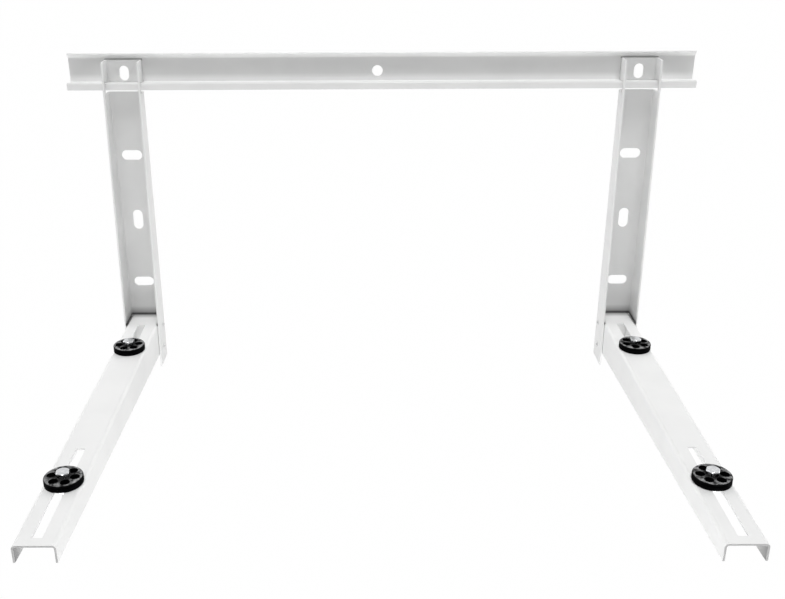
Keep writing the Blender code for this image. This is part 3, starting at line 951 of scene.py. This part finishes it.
@dataclass
class Upright:
    """A channel that hooks over the crossbar and hangs down the wall.

    The top slot is its height, length and width. Each wall slot is its distance below the
    top and whether it stands upright.
    """

    spacing: float = UPRIGHT_SPACING
    width: float = 0.047
    top: float = 0.0235
    height: float = 0.4165
    back: float = 0.0023
    depth_top: float = 0.0248
    depth_bottom: float = 0.0433
    fold_reach: float = 0.0030
    window_top: float = -0.0045
    window_bottom: float = -0.0170
    window_reach: float = 0.0222
    window_slope: float = 0.125
    top_slot: tuple[float, float, float] = (0.00665, 0.0185, 0.012)
    wall_slots: tuple[tuple[float, bool], ...] = ((0.1243, False), (0.2137, True), (0.3040, False))
    wall_slot_length: float = 0.027
    wall_slot_width: float = 0.013

    def make(self, side: Side, sheet: FoldedSheet, finish: Material, rivets: list[Object]) -> None:
        """Fold and punch one upright and keep it.

        Args:
            side: The bracket's side.
            sheet: The folded-sheet maker.
            finish: Its material.
            rivets: Drills for the rivet holes.
        """
        x = side.sign * self.spacing / 2
        half_sheet = sheet.thickness / 2
        half = self.width / 2 - half_sheet
        web = -(self.back + half_sheet)
        edge = -(self.back + self.depth_top)
        corners: list[Point3] = [(x - half, edge, self.top), (x - half, web, self.top), (x + half, web, self.top),
                                 (x + half, edge, self.top)]
        inner = -(self.back + sheet.thickness)
        front = self.window_top + self.window_slope * (self.window_reach + inner)
        margin = sheet.cut_margin
        outline: list[Point2] = [(margin, self.window_top), (inner, self.window_top), (-self.window_reach, front),
                                 (-self.window_reach, self.window_bottom), (margin, self.window_bottom)]
        reach = self.width / 2 + margin
        tools = [sheet.block_tool(f"window_tool_{side.value}", outline, x - reach, x + reach)]
        height, length, width = self.top_slot
        tools.append(sheet.slot_tool(f"top_slot_tool_{side.value}", (x, height), length, width, True, reach / 2))
        for number, (drop, standing) in enumerate(self.wall_slots):
            tools.append(sheet.slot_tool(f"wall_slot_tool_{side.value}_{number}", (x, self.top - drop),
                                         self.wall_slot_length, self.wall_slot_width, standing, reach / 2))
        sheet.fold(f"{side.value}_upright", corners, [0.0, self.fold_reach, self.fold_reach, 0.0],
                   (0.0, 0.0, -self.height), (0.0, self.depth_top - self.depth_bottom, 0.0), finish,
                   tools + rivets)


@dataclass
class Arm:
    """A channel that carries the outdoor unit, with two long slots in its top.

    Each slot is the distance of its front end from the wall, and its length.
    """

    spacing: float = UPRIGHT_SPACING
    width: float = 0.042
    top: float = ARM_TOP
    back: float = 0.0066
    reach: float = 0.535
    depth_wall: float = 0.0475
    depth_front: float = 0.0192
    fold_reach: float = 0.0030
    slot_width: float = 0.010
    slots: tuple[Point2, ...] = ((0.5225, 0.1575), (0.1320, 0.0895))

    def make(self, side: Side, sheet: FoldedSheet, finish: Material, rivets: list[Object]) -> None:
        """Fold and punch one arm and keep it.

        Args:
            side: The bracket's side.
            sheet: The folded-sheet maker.
            finish: Its material.
            rivets: Drills for the rivet holes.
        """
        x = side.sign * self.spacing / 2
        half_sheet = sheet.thickness / 2
        half = self.width / 2 - half_sheet
        web = self.top - half_sheet
        edge = self.top - self.depth_wall
        corners: list[Point3] = [(x - half, -self.back, edge), (x - half, -self.back, web),
                                 (x + half, -self.back, web), (x + half, -self.back, edge)]
        tools: list[Object] = []
        low = self.top - sheet.thickness - sheet.cut_margin
        high = self.top + sheet.cut_margin
        for number, (far, length) in enumerate(self.slots):
            outline: list[Point2] = [(-far, low), (length - far, low), (length - far, high), (-far, high)]
            tools.append(sheet.block_tool(f"arm_slot_tool_{side.value}_{number}", outline,
                                          x - self.slot_width / 2, x + self.slot_width / 2))
        sheet.fold(f"{side.value}_arm", corners, [0.0, self.fold_reach, self.fold_reach, 0.0],
                   (0.0, self.back - self.reach, 0.0), (0.0, 0.0, self.depth_wall - self.depth_front), finish,
                   tools + rivets)


@dataclass
class Rivets:
    """Set blind rivets, four through each upright and the arm inside it."""

    spacing: float = UPRIGHT_SPACING
    seat: float = 0.0238
    levels: tuple[str, str] = ("upper", "lower")
    rows: tuple[Point2, Point2] = RIVET_ROWS
    radius: float = 0.0020
    hole_gap: float = 0.0003
    grip: float = 0.0048
    head_radius: float = 0.0036
    head_height: float = 0.0010
    head_round: float = 0.0008
    round_steps: int = 5
    edge_break: float = 0.0001
    bore_radius: float = 0.0012
    bore_depth: float = 0.0022
    pin_radius: float = 0.0010
    pin_face: float = 0.8
    pin_below: float = 0.0007
    tail_radius: float = 0.0028
    tail_length: float = 0.0030
    neck_steps: int = 4
    dome_steps: int = 7
    steps: int = 32

    def drills(self, side: Side, sheet: FoldedSheet) -> list[Object]:
        """Make the drills for the holes on one side.

        Args:
            side: The bracket's side.
            sheet: The folded-sheet maker.

        Returns:
            One drill for each height, through both flanges.
        """
        x = side.sign * self.spacing / 2
        reach = self.seat + sheet.cut_margin
        return [sheet.drill_tool(f"rivet_drill_{side.value}_{level}", x - reach, x + reach, y, z,
                                 self.radius + self.hole_gap) for level, (y, z) in zip(self.levels, self.rows)]

    def body(self) -> Mesh:
        """Turn one rivet: the head sits at Z = 0 and the tail points down.

        Returns:
            The rivet's mesh.
        """
        crown = self.head_height
        floor = crown - self.bore_depth
        pin = crown - self.pin_below
        broken = self.edge_break
        profile: list[Point2] = [
            (0.0, pin), (self.pin_radius * self.pin_face, pin), (self.pin_radius, pin - broken),
            (self.pin_radius, floor), (self.bore_radius, floor), (self.bore_radius, crown - broken),
            (self.bore_radius + broken, crown),
        ]
        profile += arc((self.head_radius - self.head_round, crown - self.head_round), self.head_round, 90, 0,
                       self.round_steps)
        profile += [(self.head_radius - broken, 0.0), (self.radius, 0.0), (self.radius, -self.grip)]
        bulge = self.tail_length / 2
        swell = self.tail_radius - self.radius
        for step in range(1, self.neck_steps + 1):
            angle = math.pi / 2 * step / self.neck_steps
            profile.append((self.radius + swell * math.sin(angle), -self.grip - bulge * (1 - math.cos(angle))))
        for step in range(1, self.dome_steps):
            angle = math.pi / 2 * step / self.dome_steps
            profile.append((self.tail_radius * math.cos(angle), -self.grip - bulge * (1 + math.sin(angle))))
        profile.append((0.0, -self.grip - self.tail_length))
        return turned("rivet_body", profile, self.steps)

    def build_graph(self) -> GeometryGraph:
        """Build the tree that sets the rivets of one side, heads outwards.

        Returns:
            The tree with its named inputs.
        """
        graph = GeometryGraph("rivet_row")
        index = graph.out("GeometryNodeInputIndex")
        count = len(self.rows)
        level = graph.math("MODULO", index, float(count))
        second = graph.math("GREATER_THAN", index, count - 0.5)
        flank = graph.math("SUBTRACT", graph.math("MULTIPLY", second, 2.0), 1.0)
        across = graph.math("ADD", graph.number("Centre"), graph.math("MULTIPLY", flank, graph.number("Seat")))
        rests: list[Socket] = []
        for axis in ("Y", "Z"):
            first = graph.number(f"Upper {axis}")
            step = graph.math("SUBTRACT", graph.number(f"Lower {axis}"), first)
            rests.append(graph.math("ADD", first, graph.math("MULTIPLY", step, level)))
        place = graph.out("ShaderNodeCombineXYZ", dict(enumerate([across, *rests])))
        outward = graph.out("ShaderNodeCombineXYZ", {"X": flank})
        aim = graph.out("FunctionNodeAlignRotationToVector", {"Vector": outward}, axis="Z")
        line = graph.out("GeometryNodeMeshLine", {"Count": 2 * count})
        laid = graph.out("GeometryNodeSetPosition", {"Geometry": line, "Position": place})
        graph.close(graph.out("GeometryNodeInstanceOnPoints", {"Points": laid, "Instance": graph.mesh,
                                                               "Rotation": aim}))
        return graph

    def make(self, finish: Material) -> None:
        """Set the rivets of both sides and keep them.

        Args:
            finish: Their material.
        """
        graph = self.build_graph()
        upper, lower = self.rows
        for side in Side:
            values: dict[str, object] = {"Finish": finish, "Centre": side.sign * self.spacing / 2,
                                         "Seat": self.seat, "Upper Y": upper[0], "Lower Y": lower[0],
                                         "Upper Z": upper[1], "Lower Z": lower[1]}
            mesh = graph.make(f"rivets_{side.value}", values, self.body())
            shade(mesh)
            nodes = [f"rivet_{side.value}_{flank}_{level}" for flank in ("outer", "inner")
                     for level in self.levels]
            keep_piece(f"rivets_{side.value}", mesh, nodes)


@dataclass(frozen=True)
class Place:
    """Where a damper, its bolt, washer and nut stand, and how far they are turned."""

    side: Side
    end: End
    damper_turn: float
    bolt_turn: float

    @property
    def spot(self) -> Point2:
        """Give the place's X and Y."""
        return self.side.sign * UPRIGHT_SPACING / 2, REAR_BOLT - (BOLT_SPACING if self.end is End.FRONT else 0.0)

    @property
    def label(self) -> str:
        """Give the place's name, as the CAD nodes use it."""
        return f"{self.side.value}_{self.end.value}"


@dataclass
class Damper:
    """A round rubber pad with a ring of round pockets."""

    radius: float = 0.0200
    height: float = 0.0080
    top_round: float = 0.0018
    foot_round: float = 0.0008
    groove_depth: float = 0.0009
    groove_height: float = 0.0014
    groove_below_top: float = 0.0026
    bore: float = BOLT_BORE
    pockets: int = 6
    pocket_radius: float = 0.0049
    pocket_circle: float = 0.0125
    pocket_depth: float = 0.0050
    pocket_steps: int = 40
    edge_round: float = 0.00045
    edge_steps: int = 3
    sharp_from: float = 40.0
    top_steps: int = 8
    foot_steps: int = 4
    steps: int = 96

    def ring(self) -> Mesh:
        """Turn the pad round its bore.

        Returns:
            The pad without its pockets.
        """
        groove_top = self.height - self.groove_below_top
        groove_bottom = groove_top - self.groove_height
        inside = self.radius - self.groove_depth
        profile: list[Point2] = [(self.bore, self.height)]
        profile += arc((self.radius - self.top_round, self.height - self.top_round), self.top_round, 90, 0,
                       self.top_steps)
        profile += [(self.radius, groove_top), (inside, groove_top), (inside, groove_bottom),
                    (self.radius, groove_bottom)]
        profile += arc((self.radius - self.foot_round, self.foot_round), self.foot_round, 0, -90,
                       self.foot_steps)
        profile.append((self.bore, 0.0))
        return turned("damper_ring", profile, self.steps)

    def build_graph(self) -> GeometryGraph:
        """Build the tree that sinks a ring of pockets into the pad.

        Returns:
            The tree with its named inputs.
        """
        graph = GeometryGraph("damper_pockets")
        circle = graph.out("GeometryNodeMeshCircle", {"Vertices": graph.whole("Pockets"),
                                                      "Radius": graph.number("Circle radius")})
        pocket = graph.out("GeometryNodeMeshCylinder", {
            "Vertices": self.pocket_steps, "Radius": graph.number("Pocket radius"),
            "Depth": graph.math("MULTIPLY", graph.number("Pocket depth"), 2.0)})
        spread = graph.out("GeometryNodeInstanceOnPoints", {"Points": circle, "Instance": pocket})
        height = graph.out("ShaderNodeCombineXYZ", {"Z": graph.number("Top")})
        lifted = graph.out("GeometryNodeTransform", {
            "Geometry": graph.out("GeometryNodeRealizeInstances", {"Geometry": spread}), "Translation": height})
        graph.close(graph.out("GeometryNodeMeshBoolean", {"Mesh 1": graph.mesh, "Mesh 2": lifted},
                              operation="DIFFERENCE", solver="EXACT"))
        return graph

    def make(self, finish: Material) -> Mesh:
        """Mould one damper that stands on Z = 0.

        Args:
            finish: Its material.

        Returns:
            The damper's mesh.
        """
        values: dict[str, object] = {"Finish": finish, "Pockets": self.pockets,
                                     "Circle radius": self.pocket_circle, "Pocket radius": self.pocket_radius,
                                     "Pocket depth": self.pocket_depth, "Top": self.height}
        item = place_object("damper_work", self.build_graph().make("damper_sunk", values, self.ring()))
        item.data.shade_smooth()
        round_edges(item, self.edge_round, self.edge_steps, self.sharp_from)
        return bake(item, "damper")


@dataclass
class Bolt:
    """A hexagon bolt with a chamfered head and a rolled thread.

    The chamfer starts at chamfer_from of the way to the flats, and its tool passes the
    corners by corner_margin.
    """

    radius: float = 0.004
    length: float = 0.025
    across_flats: float = 0.013
    head_height: float = 0.0053
    chamfer: float = 30.0
    chamfer_from: float = 0.97
    corner_margin: float = 1.03
    point: float = 0.0010
    pitch: float = 0.00125
    thread_depth: float = 0.0007
    plain: float = 0.0030
    runout: float = 0.001
    edge_round: float = 0.00018
    edge_steps: int = 2
    sharp_from: float = 20.0
    steps: int = 64
    thread_around: int = 36
    thread_rings: int = 140

    def hexagon(self, height: float, both: bool) -> Object:
        """Make a chamfered hexagon that stands on Z = 0.

        Args:
            height: Its height.
            both: Whether it is chamfered on both faces.

        Returns:
            The hexagon.
        """
        corner = self.across_flats / math.sqrt(3)
        bm = bmesh.new()
        bmesh.ops.create_cone(bm, cap_ends=True, segments=6, radius1=corner, radius2=corner, depth=height,
                              matrix=Matrix.Translation((0.0, 0.0, height / 2)))
        item = place_object("hexagon_work", mesh_of(bm, "hexagon_blank"))
        flat = self.across_flats / 2 * self.chamfer_from
        wide = corner * self.corner_margin
        fall = (wide - flat) * math.tan(math.radians(self.chamfer))
        profile: list[Point2] = [(0.0, height), (flat, height), (wide, height - fall)]
        profile += [(wide, fall), (flat, 0.0), (0.0, 0.0)] if both else [(wide, -height), (0.0, -height)]
        cone = place_object("chamfer_tool", turned("chamfer_tool", profile, self.steps))
        combine(item, [cone], "INTERSECT")
        mesh = bake(item, "hexagon")
        discard([cone])
        return place_object("hexagon_work", mesh)

    def build_graph(self) -> GeometryGraph:
        """Build the tree that rolls a thread round a shank that ends at Z = 0.

        Returns:
            The tree with its named inputs.
        """
        graph = GeometryGraph("rolled_thread")
        radius, length = graph.number("Radius"), graph.number("Length")
        rod = graph.out("GeometryNodeMeshCylinder", {"Vertices": graph.whole("Around"), "Radius": radius,
                                                     "Side Segments": graph.whole("Rings"), "Depth": length})
        position = graph.out("GeometryNodeInputPosition")
        x, y, z = graph.add("ShaderNodeSeparateXYZ", {"Vector": position}).outputs
        half = graph.math("MULTIPLY", length, 0.5)
        drop = graph.math("SUBTRACT", half, z)
        turn = graph.math("DIVIDE", graph.math("ARCTAN2", y, x), 2 * math.pi)
        phase = graph.math("ADD", graph.math("DIVIDE", drop, graph.number("Pitch")), turn)
        valley = graph.math("MULTIPLY", graph.math("PINGPONG", phase, 0.5), 2.0)
        begun = graph.math("SUBTRACT", drop, graph.number("Plain"))
        fade = graph.out("ShaderNodeClamp", {"Value": graph.math("MULTIPLY", begun, 1.0 / self.runout)})
        depth = graph.product(valley, graph.number("Thread depth"), fade)
        left = graph.math("ADD", half, z)
        point = graph.math("MAXIMUM", graph.math("SUBTRACT", graph.number("Point"), left), 0.0)
        cut = graph.math("MAXIMUM", depth, point)
        share = graph.math("DIVIDE", graph.math("SUBTRACT", radius, cut), radius)
        place = graph.out("ShaderNodeCombineXYZ", {"X": graph.math("MULTIPLY", x, share),
                                                   "Y": graph.math("MULTIPLY", y, share),
                                                   "Z": graph.math("SUBTRACT", z, half)})
        graph.close(graph.out("GeometryNodeSetPosition", {"Geometry": rod, "Position": place}))
        return graph

    def make(self, finish: Material) -> Mesh:
        """Make one bolt, with the underside of its head at Z = 0.

        Args:
            finish: Its material.

        Returns:
            The bolt's mesh.
        """
        sunk = self.head_height / 2
        values: dict[str, object] = {"Finish": finish, "Radius": self.radius, "Length": self.length + sunk,
                                     "Around": self.thread_around, "Rings": self.thread_rings,
                                     "Pitch": self.pitch, "Plain": self.plain + sunk,
                                     "Thread depth": self.thread_depth, "Point": self.point}
        shank_mesh = self.build_graph().make("shank", values)
        shank_mesh.transform(Matrix.Translation((0.0, 0.0, sunk)))
        shank = place_object("shank_work", shank_mesh)
        head = self.hexagon(self.head_height, False)
        round_edges(head, self.edge_round, self.edge_steps, self.sharp_from)
        work = place_object("bolt_work", bake(head, "bolt_head"))
        coat(work.data, finish)
        combine(work, [shank], "UNION")
        mesh = bake(work, "bolt")
        discard([shank])
        shade(mesh)
        return mesh


@dataclass
class Nut:
    """A hexagon nut, chamfered on both faces, with countersunk thread ends."""

    height: float = 0.0065
    bore: float = BOLT_BORE
    countersink: float = 0.0005
    drill_over: float = 0.002

    def make(self, bolt: Bolt, finish: Material) -> Mesh:
        """Make one nut that stands on Z = 0.

        Args:
            bolt: The bolt that it fits.
            finish: Its material.

        Returns:
            The nut's mesh.
        """
        item = bolt.hexagon(self.height, True)
        over = self.drill_over
        wide = self.bore + self.countersink + over
        profile: list[Point2] = [(0.0, self.height + over), (wide, self.height + over),
                                 (self.bore, self.height - self.countersink), (self.bore, self.countersink),
                                 (wide, -over), (0.0, -over)]
        drill = place_object("nut_drill", turned("nut_drill", profile, bolt.steps))
        combine(item, [drill], "DIFFERENCE")
        work = place_object("nut_work", bake(item, "nut_cut"))
        discard([drill])
        round_edges(work, bolt.edge_round, bolt.edge_steps, bolt.sharp_from)
        mesh = bake(work, "nut")
        coat(mesh, finish)
        shade(mesh)
        return mesh


@dataclass
class Washer:
    """A flat washer with its punched edges rounded."""

    radius: float = 0.008
    bore: float = BOLT_BORE
    height: float = 0.0016
    edge: float = 0.0003
    edge_steps: int = 3
    steps: int = 72

    def make(self, finish: Material) -> Mesh:
        """Turn one washer that stands on Z = 0.

        Args:
            finish: Its material.

        Returns:
            The washer's mesh.
        """
        edge = self.edge
        low, high = edge, self.height - edge
        inside, outside = self.bore + edge, self.radius - edge
        profile: list[Point2] = []
        corners = ((inside, high), (outside, high), (outside, low), (inside, low))
        for centre, start in zip(corners, (180, 90, 0, -90)):
            profile += arc(centre, edge, start, start - 90, self.edge_steps)
        mesh = turned("washer", profile, self.steps)
        coat(mesh, finish)
        shade(mesh)
        return mesh


@dataclass
class FootSets:
    """The four clamped dampers with their bolts, washers and nuts."""

    arm_top: float = ARM_TOP
    sheet: float = 0.002
    gap: float = 0.0003
    damper: Damper = field(default_factory=Damper)
    bolt: Bolt = field(default_factory=Bolt)
    nut: Nut = field(default_factory=Nut)
    washer: Washer = field(default_factory=Washer)
    places: tuple[Place, ...] = (
        Place(Side.LEFT, End.REAR, 10.0, -7.0),
        Place(Side.LEFT, End.FRONT, -7.0, 12.0),
        Place(Side.RIGHT, End.REAR, 20.0, 0.0),
        Place(Side.RIGHT, End.FRONT, -3.0, -25.0),
    )

    def make(self, rubber: Material, zinc: Material) -> None:
        """Make all four sets and keep them.

        Args:
            rubber: The dampers' material.
            zinc: The fasteners' material.
        """
        damper_base = self.arm_top + self.gap
        washer_base = self.arm_top - self.sheet - self.gap - self.washer.height
        kinds = (("damper", self.damper.make(rubber), damper_base, Slot.RUBBER),
                 ("bolt", self.bolt.make(zinc), damper_base + self.damper.height + self.gap, Slot.ZINC),
                 ("washer", self.washer.make(zinc), washer_base, Slot.ZINC),
                 ("nut", self.nut.make(self.bolt, zinc), washer_base - self.gap - self.nut.height, Slot.ZINC))
        for place in self.places:
            turns = {"damper": place.damper_turn, "bolt": place.bolt_turn, "nut": place.bolt_turn}
            for kind, source, base, slot in kinds:
                mesh = source.copy()
                turn = Matrix.Rotation(math.radians(turns.get(kind, 0.0)), 4, "Z")
                mesh.transform(Matrix.Translation((*place.spot, base)) @ turn)
                keep_piece(f"{kind}_{slot.value}_{place.label}", mesh, [f"{kind}_{place.label}"])


@dataclass(frozen=True)
class SoftLight:
    """One soft distant lamp."""

    name: str
    aim: Point3
    level: float
    spread: float

    def place(self) -> None:
        """Add the lamp, which shines along aim."""
        lamp = bpy.data.lights.new(self.name, "SUN")
        lamp.energy = self.level
        lamp.angle = math.radians(self.spread)
        item = place_object(self.name, lamp)
        item.rotation_euler = Vector(self.aim).to_track_quat("-Z", "Y").to_euler()


@dataclass(frozen=True)
class BouncePanel:
    """A wide panel of light below the bracket that shines straight up, as a white studio floor does."""

    name: str = "bounce_panel"
    middle: Point3 = (0.0, -0.6, -0.9)
    width: float = 3.0
    length: float = 0.8
    power: float = 17.0

    def place(self) -> None:
        """Add the panel, which the camera doesn't see."""
        lamp = bpy.data.lights.new(self.name, "AREA")
        lamp.shape = "RECTANGLE"
        lamp.size, lamp.size_y = self.width, self.length
        lamp.energy = self.power
        item = place_object(self.name, lamp)
        item.location = self.middle
        item.rotation_euler = (math.pi, 0.0, 0.0)
        item.visible_camera = False


@dataclass
class Studio:
    """Camera, soft lamps, white surroundings and a plain pale floor."""

    lens: float = 45.53
    place: Point3 = (-0.0237, -1.2884, 0.2347)
    yaw: float = -0.0038
    pitch: float = 0.401
    roll: float = -0.0051
    shift: float = 0.0414
    sensor: float = 36.0
    near: float = 0.01
    floor_height: float = -0.95
    floor_reach: float = 30.0
    floor_grey: float = 0.5
    floor_white_share: float = 0.996
    surroundings: float = 0.31
    lamps: tuple[SoftLight, ...] = (
        SoftLight("lamp_above", (0.0, 0.27, -1.0), 1.82, 25.0),
        SoftLight("lamp_left", (1.0, -0.25, -0.12), 1.62, 50.0),
        SoftLight("lamp_right", (-1.0, -0.25, -0.12), 1.66, 50.0),
    )
    panel: BouncePanel = BouncePanel()

    def add_camera(self) -> None:
        """Set the camera where the perspective of the photograph puts it."""
        forward = Vector((math.sin(self.yaw) * math.cos(self.pitch),
                          math.cos(self.yaw) * math.cos(self.pitch),
                          -math.sin(self.pitch)))
        right = Vector((math.cos(self.yaw), -math.sin(self.yaw), 0.0))
        up = right.cross(forward)
        turned_right = right * math.cos(self.roll) + up * math.sin(self.roll)
        turned_up = up * math.cos(self.roll) - right * math.sin(self.roll)
        camera = bpy.data.cameras.new("camera")
        camera.lens = self.lens
        camera.sensor_width = self.sensor
        camera.shift_x = self.shift
        camera.clip_start = self.near
        item = place_object("camera", camera)
        axes = Matrix((turned_right, turned_up, -forward)).transposed().to_4x4()
        item.matrix_world = Matrix.Translation(self.place) @ axes
        bpy.context.scene.camera = item

    def add_surroundings(self) -> None:
        """Light the object evenly, and show plain white behind it."""
        world = bpy.data.worlds.new("surroundings")
        world.use_nodes = True
        graph = NodeGraph(world.node_tree)
        path = graph.add("ShaderNodeLightPath").outputs
        passing = graph.math("MAXIMUM", path["Is Glossy Ray"], path["Is Transmission Ray"])
        seen = graph.math("MAXIMUM", path["Is Camera Ray"], passing)
        lit, white = (graph.out("ShaderNodeBackground", {"Color": WHITE, "Strength": strength})
                      for strength in (self.surroundings, 1.0))
        blend = graph.out("ShaderNodeMixShader", {"Fac": seen, 1: lit, 2: white})
        graph.add("ShaderNodeOutputWorld", {"Surface": blend})
        bpy.context.scene.world = world

    def add_floor(self) -> None:
        """Lay a plain pale floor well below the bracket, which hangs on a wall."""
        bm = bmesh.new()
        bmesh.ops.create_grid(bm, x_segments=1, y_segments=1, size=self.floor_reach)
        bmesh.ops.translate(bm, verts=bm.verts, vec=(0.0, 0.0, self.floor_height))
        floor = place_object("floor", mesh_of(bm, "floor"))
        graph = ShaderGraph("pale_floor")
        share = graph.math("MULTIPLY", graph.out("ShaderNodeLightPath", output="Is Camera Ray"),
                           self.floor_white_share)
        matt = graph.out("ShaderNodeBsdfDiffuse", {"Color": (*(self.floor_grey,) * 3, 1.0)})
        white = graph.out("ShaderNodeEmission", {"Color": WHITE, "Strength": 1.0})
        blend = graph.out("ShaderNodeMixShader", {"Fac": share, 1: matt, 2: white})
        graph.add("ShaderNodeOutputMaterial", {"Surface": blend})
        coat(floor.data, graph.material)

    def build(self) -> None:
        """Build the whole studio."""
        self.add_camera()
        self.add_surroundings()
        self.add_floor()
        for lamp in self.lamps:
            lamp.place()
        self.panel.place()
        bpy.context.scene.view_settings.view_transform = "Standard"


def main() -> None:
    """Build the studio and every piece, and report each through the log."""
    logging.basicConfig(level=logging.INFO, format="%(message)s")
    Studio().build()
    workshop = Workshop()
    workshop.dress_nodes()
    sheet = FoldedSheet()
    rivets = Rivets()
    Crossbar().make(sheet, workshop.crossbar_paint_with_painted_light)
    for side in Side:
        Upright().make(side, sheet, workshop.upright_paint_with_painted_shade, rivets.drills(side, sheet))
        Arm().make(side, sheet, workshop.arm_paint_with_painted_shade, rivets.drills(side, sheet))
    rivets.make(workshop.rivet_paint)
    FootSets().make(workshop.rubber, workshop.zinc)


if __name__ == "__main__":
    main()
